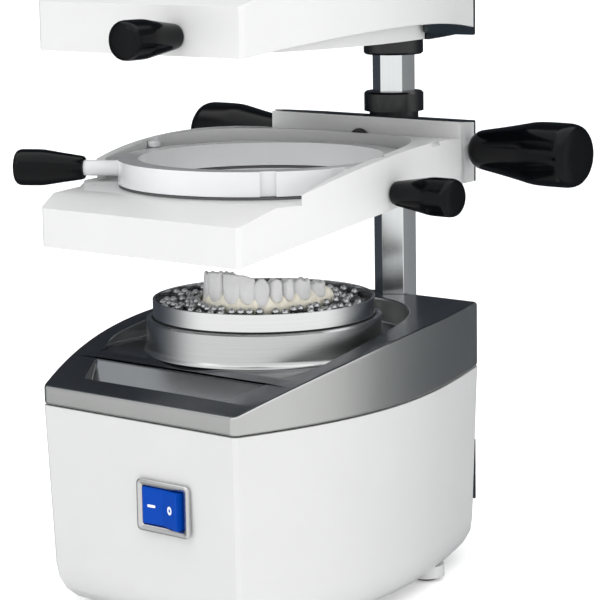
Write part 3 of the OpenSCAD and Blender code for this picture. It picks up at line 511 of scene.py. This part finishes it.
def crown(t, w, dp, z0, z1, kind, seed):
    rnd = random.Random(seed)
    x, y, tx, ty = at_arc(t)
    nx, ny = -ty, tx
    n, rings = 28, []
    steps = 13
    lean = rnd.uniform(-0.03, 0.03)

    slant = {47: 0.35, 48: -0.1, 49: -0.75}.get(seed, 0.0)

    def ring(a, b, off, z, cusp=0.0, flat=2.6):
        out = []
        edge = max(0.0, (z - z0) / (z1 - z0) - 0.55) * 2.2 if kind == "incisor" else 0.0
        for k in range(n):
            q = 2 * math.pi * k / n
            c, s = math.cos(q), math.sin(q)
            e = 2.0 / flat
            px = a * math.copysign(abs(c) ** e, c)
            py = b * math.copysign(abs(s) ** e, s)
            if kind == "molar":
                dz = -cusp * math.cos(4 * q)
            elif kind == "premolar":
                dz = -cusp * math.cos(2 * q)
            else:
                q0 = max(-1.0, min(1.0, px / max(a, 0.01)))
                dz = edge * (slant * q0 + 0.3 * math.cos(3.2 * math.pi * q0 + seed) - 0.45 * q0 * q0 + 0.14 * math.sin(9.0 * q0 + 2 * seed))
            px += lean * (z - z0)
            u = off + py
            out.append((x + tx * px + nx * u, y + ty * px + ny * u, z + dz))
        return out
    for i in range(steps + 1):
        f = i / steps
        z = z0 + (z1 - z0) * f
        low = math.sqrt(max(0.0, 1 - (1 - min(1, f / 0.30)) ** 2))
        if kind == "incisor":
            a = w / 2 * (0.80 + 0.20 * math.sin(math.pi * min(0.72, f * 0.9))) * (0.30 + 0.70 * low)
            b = dp / 2 * (1.0 - 0.72 * f ** 1.5) * (0.6 + 0.4 * low)
            out_face = 0.15 + 0.95 * (1 - math.sin(math.pi * min(1, 0.15 + f * 0.75))) + 0.3 * f * f
            off = out_face + b
        elif kind == "canine":
            a = w / 2 * (0.74 + 0.26 * math.sin(math.pi * min(0.6, f * 0.8))) * (0.30 + 0.70 * low)
            a *= 1.0 if f < 0.72 else math.sqrt(max(0.08, 1 - ((f - 0.72) / 0.30) ** 2))
            b = dp / 2 * (1.0 - 0.66 * f ** 1.7) * (0.6 + 0.4 * low)
            out_face = 0.0 + 1.0 * (1 - math.sin(math.pi * min(1, 0.2 + f * 0.7))) + 0.4 * f * f
            off = out_face + b
        else:
            a = w / 2 * (0.78 + 0.22 * math.sin(math.pi * min(1, 0.1 + 0.75 * f))) * (0.4 + 0.6 * low)
            b = dp / 2 * (0.88 + 0.12 * math.sin(math.pi * f)) * (0.7 + 0.3 * low) * (1 - 0.16 * f ** 3)
            off = 0.25 + 0.8 * f * f + b
        rings.append(ring(a, b, off, z, 0.0))
        last = (a, b, off)
    a, b, off = last
    if kind in ("incisor", "canine"):
        tip = 0.5 if kind == "incisor" else 0.7
        rings.append(ring(a * 0.93, b * 0.72, off, z1 + 0.26 * tip, flat=2.6))
        rings.append(ring(a * 0.78, b * 0.4, off, z1 + 0.42 * tip))
        rings.append(ring(a * 0.5, b * 0.16, off, z1 + 0.48 * tip))
    else:
        h = 0.9 if kind == "molar" else 1.1
        rings[-1] = ring(a * 0.99, b * 0.99, off, z1 - 0.7, 0.25 * h)
        rings.append(ring(a * 0.9, b * 0.9, off, z1 - 0.1, 0.5 * h))
        rings.append(ring(a * 0.74, b * 0.74, off, z1 + 0.05, 0.75 * h))
        rings.append(ring(a * 0.52, b * 0.52, off, z1 - 0.75, 0.45 * h))
        rings.append(ring(a * 0.22, b * 0.22, off, z1 - 1.35, 0.1))
    return loft(rings)


parts = [crown(s0[0], s0[1], s0[2], s0[3] - 0.6, s0[4] - 0.3, s0[5], 40 + i) for i, s0 in enumerate(spots)]
cv, cf = merge(parts)
crowns = mesh_obj("cast_crowns", cv, cf, "dental_stone", "tray", ("dental_cast",), mats=[CROWN])
sub = crowns.modifiers.new("subdivision", "SUBSURF")
sub.levels = 1
sub.render_levels = 1
tex = bpy.data.textures.new("crown_wear", "CLOUDS")
tex.noise_scale = 0.004
dsp = crowns.modifiers.new("wear", "DISPLACE")
dsp.texture = tex
dsp.texture_coords = "LOCAL"
dsp.strength = 0.0007
dsp.mid_level = 0.5


# ------------------------------------------------------------------ pellets
def ball(c, r, nu=14, nv=9):
    v = [(c[0], c[1], c[2] + r)]
    for i in range(1, nv):
        a = math.pi * i / nv
        for k in range(nu):
            b = 2 * math.pi * k / nu
            v.append((c[0] + r * math.sin(a) * math.cos(b), c[1] + r * math.sin(a) * math.sin(b), c[2] + r * math.cos(a)))
    v.append((c[0], c[1], c[2] - r))
    f = []
    for k in range(nu):
        f.append((0, 1 + k, 1 + (k + 1) % nu))
    for i in range(nv - 2):
        for k in range(nu):
            a, b = 1 + i * nu + k, 1 + i * nu + (k + 1) % nu
            f.append((a, a + nu, b + nu, b))
    last = len(v) - 1
    for k in range(nu):
        f.append((last, last - nu + (k + 1) % nu, last - nu + k))
    return v, f


mid_line = []
for i in range(0, 61):
    x, y, tx, ty = at_arc(arc[-1] * i / 60)
    mid_line.append((x - ty * 7.9, y + tx * 7.9))


def cast_distance(x, y):
    return math.sqrt(min((x - p[0]) ** 2 + (y - p[1]) ** 2 for p in mid_line))


BR = 2.0
cells, placed_b = {}, []


def try_ball(x, y, z, r):
    ci, cj = int(x // 4), int(y // 4)
    for a in (-1, 0, 1):
        for b in (-1, 0, 1):
            for (px, py, pz) in cells.get((ci + a, cj + b), ()):
                if (px - x) ** 2 + (py - y) ** 2 + (pz - z) ** 2 < (2 * r * 0.985) ** 2:
                    return False
    cells.setdefault((ci, cj), []).append((x, y, z))
    placed_b.append((x, y, z))
    return True


step = 2 * BR * 1.02


def fill_layer(z0, shift, skip, spread):
    for i in range(-15, 16):
        for j in range(-15, 16):
            x = (j + 0.5 * (i % 2) + 0.33 * shift) * step + random.uniform(-0.45, 0.45)
            y = (i * 0.866 + 0.35 * shift) * step + random.uniform(-0.45, 0.45)
            drop = random.random()
            z = z0 + random.uniform(-0.2, 0.45) * spread
            if math.hypot(x, y) > 52.9 - BR or cast_distance(x, y) < 7.9 + BR * 0.75 or drop < skip:
                continue
            try_ball(x, y, z, BR)


fill_layer(145.5, 0, 0.0, 0.0)
low_count = len(placed_b)
for k in range(2500):
    a, r = math.radians(random.uniform(-165, 45)), random.uniform(36, 50.7)
    x, y = r * math.cos(a), r * math.sin(a)
    cd = cast_distance(x, y)
    if 9.6 < cd < 15.5:
        near = sum(1 for p in placed_b[low_count:] if (p[0] - x) ** 2 + (p[1] - y) ** 2 < 22)
        if near < 2:
            try_ball(x, y, 149.7 + 2.3 * max(0.0, 1 - (cd - 9.6) / 5.0) + random.uniform(-0.2, 0.3), BR)
fill_layer(148.75, 1, 0.38, 1.0)
balls = [ball(p, BR) for p in placed_b]
pv, pf = merge(balls)
per = len(balls[0][1])
# balls of the lower layer take the painted-shade copy of the steel
mesh_obj("pellet_fill", pv, pf, "pellet_steel", "tray", ("steel_pellets",), mats=[M["pellet_steel"], PELLET_PAINTED_SHADE],
         face_mats=[1 if n // per < low_count else 0 for n in range(len(pf))])


# ------------------------------------------------------------------ switch
def round_rect(cx, cz, hw, hh, r, y, n=7):
    pts = []
    for sx, sz, a0 in ((1, 1, 0), (-1, 1, 90), (-1, -1, 180), (1, -1, 270)):
        for k in range(n + 1):
            a = math.radians(a0 + 90 * k / n)
            pts.append((cx + sx * (hw - r) + r * math.cos(a), y, cz + sz * (hh - r) + r * math.sin(a)))
    return pts


SX, SZ, FY = 16.8, 66.0, -92.0
br = [round_rect(SX, SZ, 16.2, 12.2, 2.3, FY + 0.5), round_rect(SX, SZ, 16.35, 12.35, 2.4, FY - 0.15),
      round_rect(SX, SZ, 16.4, 12.4, 2.4, FY - 0.75), round_rect(SX, SZ, 16.2, 12.2, 2.3, FY - 1.25), round_rect(SX, SZ, 15.75, 11.75, 2.0, FY - 1.55),
      round_rect(SX, SZ, 15.1, 11.2, 1.7, FY - 1.6), round_rect(SX, SZ, 13.7, 9.9, 1.0, FY - 1.15), round_rect(SX, SZ, 13.25, 9.45, 0.8, FY - 0.85),
      round_rect(SX, SZ, 13.0, 9.2, 0.7, FY - 0.3), round_rect(SX, SZ, 13.0, 9.2, 0.7, FY + 5.4), round_rect(SX, SZ, 14.2, 10.4, 0.9, FY + 5.4),
      round_rect(SX, SZ, 14.2, 10.4, 0.9, FY + 0.6)]
bv, bf = loft(br + [br[0]], caps=False)
bez = mesh_obj("switch_frame", bv, bf, "bezel_grey", "base", ("switch_bezel",))

# rocker: two shallow dished halves on a hidden pivot
ra = math.radians(-7)


def rk(x, y, z):
    """Point in the rocker's own frame to the object's frame."""
    return (SX + x * math.cos(ra) - y * math.sin(ra), -87.8 + x * math.sin(ra) + y * math.cos(ra), SZ + z)


def face_y(x):
    return -4.75 - 2.25 * (abs(x) / 12.2) ** 1.25


cols, rowsn = 37, 15
rv, rf = [], []
for j in range(rowsn):
    z = -8.8 + 17.6 * j / (rowsn - 1)
    ez = max(0.0, abs(z) - 8.0) / 0.8
    for i in range(cols):
        x = -12.2 + 24.4 * i / (cols - 1)
        ex = max(0.0, abs(x) - 11.6) / 0.6
        rv.append(rk(x, face_y(x) + 0.35 * ez * ez + 0.4 * ex * ex, z))
for j in range(rowsn - 1):
    for i in range(cols - 1):
        a = j * cols + i
        rf.append((a, a + 1, a + 1 + cols, a + cols))
# sides and back
border = [i for i in range(cols)] + [j * cols + cols - 1 for j in range(1, rowsn)] + \
    [(rowsn - 1) * cols + i for i in range(cols - 2, -1, -1)] + [j * cols for j in range(rowsn - 2, 0, -1)]
prof_back = lambda x: min(4.2, 4.4 - 0.38 * abs(x))
o0 = len(rv)
for k in border:
    j, i = divmod(k, cols)
    x, z = -12.2 + 24.4 * i / (cols - 1), -8.8 + 17.6 * j / (rowsn - 1)
    rv.append(rk(x, prof_back(x), z))
nb = len(border)
for k in range(nb):
    rf.append((border[k], o0 + k, o0 + (k + 1) % nb, border[(k + 1) % nb]))
rf.append(tuple(o0 + k for k in range(nb)))
rocker = mesh_obj("rocker_moulded", rv, rf, "blue_rocker", "rocker", ("switch_rocker",))
soften(rocker, 0.00025, 2, 40)
pin_v, pin_f = lathe([(0, 0), (1.5, 0), (1.5, 18.3), (0, 18.3)], (SX, -87.8, SZ - 9.15), (0, 0, 1), 24)
soften(mesh_obj("rocker_pin", pin_v, pin_f, "blue_rocker", "rocker", ("switch_rocker",)), 0.0002)


def mark(name, outline, hole=None):
    """Thin raised mark lying on the rocker face."""
    vv, ff = [], []
    n = len(outline)
    loops = [outline] + ([hole] if hole else [])
    for lp in loops:
        for lift in (0.12, -0.2):
            vv += [rk(x, face_y(x) - lift, z) for x, z in lp]
    if hole:
        for k in range(n):
            k2 = (k + 1) % n
            ff += [(k, k2, 2 * n + k2, 2 * n + k), (k, n + k, n + k2, k2), (2 * n + k, 2 * n + k2, 3 * n + k2, 3 * n + k),
                   (n + k, 3 * n + k, 3 * n + k2, n + k2)]
    else:
        ff.append(tuple(range(n)))
        ff.append(tuple(range(2 * n - 1, n - 1, -1)))
        for k in range(n):
            k2 = (k + 1) % n
            ff.append((k, n + k, n + k2, k2))
    return mesh_obj(name, vv, ff, "blue_rocker", "rocker", ("switch_rocker",), mats=[MARK], smooth=False)


bar = [(-8.6, -0.62), (-4.6, -0.62), (-4.35, -0.35), (-4.35, 0.35), (-4.6, 0.62), (-8.6, 0.62), (-8.85, 0.35), (-8.85, -0.35)]
mark("mark_on", [(x, z) for x, z in bar])
circ = lambda r, n=24: [(6.3 + r * math.cos(2 * math.pi * k / n), r * 1.05 * math.sin(2 * math.pi * k / n)) for k in range(n)]
mark("mark_off", circ(1.9), circ(0.85))


# ------------------------------------------------------------------ friction screw and feet
def socket_screw(name, origin, axis, r, h, hexr, depth, slot, body, rep):
    """Cap screw head with a hexagon socket, seen from its outer end."""
    prof = [(0, -h), (r - 0.3, -h), (r, -h + 0.3), (r, -0.7), (r - 0.2, -0.25), (r - 0.7, 0.0)]
    v, f = lathe(prof, origin, axis, 48)
    ax = Vector(axis).normalized()
    ref = Vector((0, 0, 1)) if abs(ax.z) < 0.9 else Vector((1, 0, 0))
    u = ax.cross(ref).normalized()
    w = ax.cross(u).normalized()
    o = Vector(origin)
    rim0 = len(v) - 48

    def hx(a, rr):
        a = a % (math.pi / 3) - math.pi / 6
        return rr * math.cos(math.pi / 6) / math.cos(a)
    for rr, t in ((hexr * 1.18, 0.0), (hexr, -0.25), (hexr, -depth)):
        for k in range(48):
            a = 2 * math.pi * k / 48
            q = rr if rr > hexr else hx(a, rr)
            v.append(tuple(o + ax * t + (u * math.cos(a) + w * math.sin(a)) * q))
    for s0 in range(3):
        b0 = rim0 + 48 * s0
        for k in range(48):
            k2 = (k + 1) % 48
            f.append((b0 + k, b0 + 48 + k, b0 + 48 + k2, b0 + k2))
    f.append(tuple(rim0 + 144 + k for k in range(48)))
    return mesh_obj(name, v, f, slot, body, rep)


fs = socket_screw("friction_screw_head", (-2, 77.4, 219.6), (0, -1, 0), 6.5, 2.0, 2.9, 1.5, slot_of["friction_screw"], "carrier", ("friction_screw",))
soften(fs, 0.0002, 2, 35)
shv, shf = lathe([(0, 0), (2.95, 0), (2.95, 13.2), (2.6, 13.6), (0, 13.6)], (-2, 79.39, 219.6), (0, 1, 0), 32)
soften(mesh_obj("friction_screw_shank", shv, shf, slot_of["friction_screw"], "carrier", ("friction_screw",)), 0.0002)

fparts = []
for fx, fy in ((43, -63), (-43, -63), (49.5, 64), (-49.5, 64)):
    fparts.append(lathe([(0, 2.05), (4.4, 2.05), (4.8, 2.0), (5.35, 2.15), (5.6, 2.5), (5.6, 3.6), (5.45, 3.93), (2.1, 3.95), (2.0, 4.1), (2.0, 10.8), (0, 11)],
                        (fx, fy, 0), (0, 0, 1), 48))
fv_, ff_ = merge(fparts)
soften(mesh_obj("feet_moulded", fv_, ff_, "black_rubber", "base", ("rubber_feet",)), 0.00015, 2, 40)


# ------------------------------------------------------------------ studio
def area(name, loc, target, size, power, color=(1, 1, 1), size_y=None, glossy=True):
    l = bpy.data.lights.new(name, "AREA")
    l.energy = power
    l.color = color
    l.shape = "RECTANGLE"
    l.size = size
    l.size_y = size_y or size
    o = bpy.data.objects.new(name, l)
    scene.collection.objects.link(o)
    o.location = loc
    d = Vector(target) - Vector(loc)
    o.rotation_euler = d.to_track_quat("-Z", "Y").to_euler()
    o.visible_glossy = glossy
    return o


scene.view_settings.view_transform = "Standard"
scene.view_settings.look = "None"
world = bpy.data.worlds.new("studio")
scene.world = world
world.use_nodes = True
wn = world.node_tree
bg = wn.nodes["Background"]
tc = wn.nodes.new("ShaderNodeTexCoord")
dot = wn.nodes.new("ShaderNodeVectorMath")
dot.operation = "DOT_PRODUCT"
dot.inputs[1].default_value = (0.656, -0.755, 0.0)
wn.links.new(tc.outputs["Generated"], dot.inputs[0])
mr = wn.nodes.new("ShaderNodeMapRange")
mr.inputs["From Min"].default_value = -1.0
mr.inputs["From Max"].default_value = 1.0
wn.links.new(dot.outputs["Value"], mr.inputs["Value"])
wr = wn.nodes.new("ShaderNodeValToRGB")
el = wr.color_ramp.elements
el[0].position, el[0].color = 0.16, (0.048, 0.055, 0.066, 1)
el[1].position, el[1].color = 0.68, (1.0, 1.0, 0.99, 1)
k = el.new(0.30)
k.color = (0.112, 0.123, 0.138, 1)
k = el.new(0.43)
k.color = (0.30, 0.303, 0.305, 1)
k = el.new(0.56)
k.color = (0.74, 0.74, 0.74, 1)
wn.links.new(mr.outputs["Result"], wr.inputs["Fac"])
sepw = wn.nodes.new("ShaderNodeSeparateXYZ")
wn.links.new(tc.outputs["Generated"], sepw.inputs[0])
mz = wn.nodes.new("ShaderNodeMapRange")
mz.inputs["From Min"].default_value = 0.58
mz.inputs["From Max"].default_value = 0.72
wn.links.new(sepw.outputs["Z"], mz.inputs["Value"])
mf = wn.nodes.new("ShaderNodeMapRange")
mf.inputs["From Min"].default_value = 0.23
mf.inputs["From Max"].default_value = 0.31
wn.links.new(mr.outputs["Result"], mf.inputs["Value"])
mb = wn.nodes.new("ShaderNodeMath")
mb.operation = "MULTIPLY"
wn.links.new(mz.outputs["Result"], mb.inputs[0])
wn.links.new(mf.outputs["Result"], mb.inputs[1])
mx = wn.nodes.new("ShaderNodeMixRGB")
mx.inputs["Color2"].default_value = (1.5, 1.5, 1.5, 1)
wn.links.new(mb.outputs["Value"], mx.inputs["Fac"])
wn.links.new(wr.outputs["Color"], mx.inputs["Color1"])
lp = wn.nodes.new("ShaderNodeLightPath")
mc = wn.nodes.new("ShaderNodeMixRGB")
mc.inputs["Color2"].default_value = (1.0, 1.0, 1.0, 1)
wn.links.new(lp.outputs["Is Camera Ray"], mc.inputs["Fac"])
wn.links.new(mx.outputs["Color"], mc.inputs["Color1"])
wn.links.new(mc.outputs["Color"], bg.inputs["Color"])
bg.inputs["Strength"].default_value = 1.15

area("key", (-0.55, -1.75, 1.15), (0, 0, 0.15), 0.5, 1)
area("top", (0.15, -0.25, 1.9), (0, 0, 0.1), 1.1, 4, glossy=False)
sun_d = bpy.data.lights.new("sun", "SUN")
sun_d.energy = 0.42
sun_d.angle = math.radians(50)
sun = bpy.data.objects.new("sun", sun_d)
scene.collection.objects.link(sun)
sun.visible_glossy = False
sun.rotation_euler = Vector((-0.25, 0.2, -1.0)).to_track_quat("-Z", "Y").to_euler()

bm = bmesh.new()
bmesh.ops.create_grid(bm, x_segments=2, y_segments=2, size=6.0)
me = bpy.data.meshes.new("floor")
bm.to_mesh(me)
bm.free()
floor = bpy.data.objects.new("floor", me)
scene.collection.objects.link(floor)
fm, fnt, fb = new_mat("floor_paper")
fv = tex_coord(fnt)
fn = noise(fnt, fv, 8.0, 2)
fnt.links.new(ramp(fnt, fn, [(0.3, (0.95, 0.95, 0.95)), (0.7, (0.96, 0.96, 0.96))]), fb.inputs["Base Color"])
fb.inputs["Roughness"].default_value = 0.9
fb.inputs["Specular IOR Level"].default_value = 0.0
fb.inputs["Emission Color"].default_value = (1.0, 1.0, 1.0, 1)
fb.inputs["Emission Strength"].default_value = 0.2
floor.visible_glossy = False
me.materials.append(fm)

# ------------------------------------------------------------------ camera
cam_d = bpy.data.cameras.new("camera")
cam_d.lens = 145.39
cam_d.sensor_width = 36.0
cam_d.clip_end = 30.0
cam = bpy.data.objects.new("camera", cam_d)
scene.collection.objects.link(cam)
scene.camera = cam
phi, th, ro = 0.7019, 0.1694, -0.0159
R = Vector((math.cos(phi), math.sin(phi), 0))
Fh = Vector((-math.sin(phi), math.cos(phi), 0))
Z = Vector((0, 0, 1))
F = Fh * math.cos(th) - Z * math.sin(th)
U = Z * math.cos(th) + Fh * math.sin(th)
Xc = R * math.cos(ro) + U * math.sin(ro)
Yc = U * math.cos(ro) - R * math.sin(ro)
Zc = -F
cam.matrix_world = Matrix((
    (Xc.x, Yc.x, Zc.x, 0.76671),
    (Xc.y, Yc.y, Zc.y, -0.87942),
    (Xc.z, Yc.z, Zc.z, 0.34804 + ZS * MM),
    (0, 0, 0, 1)))
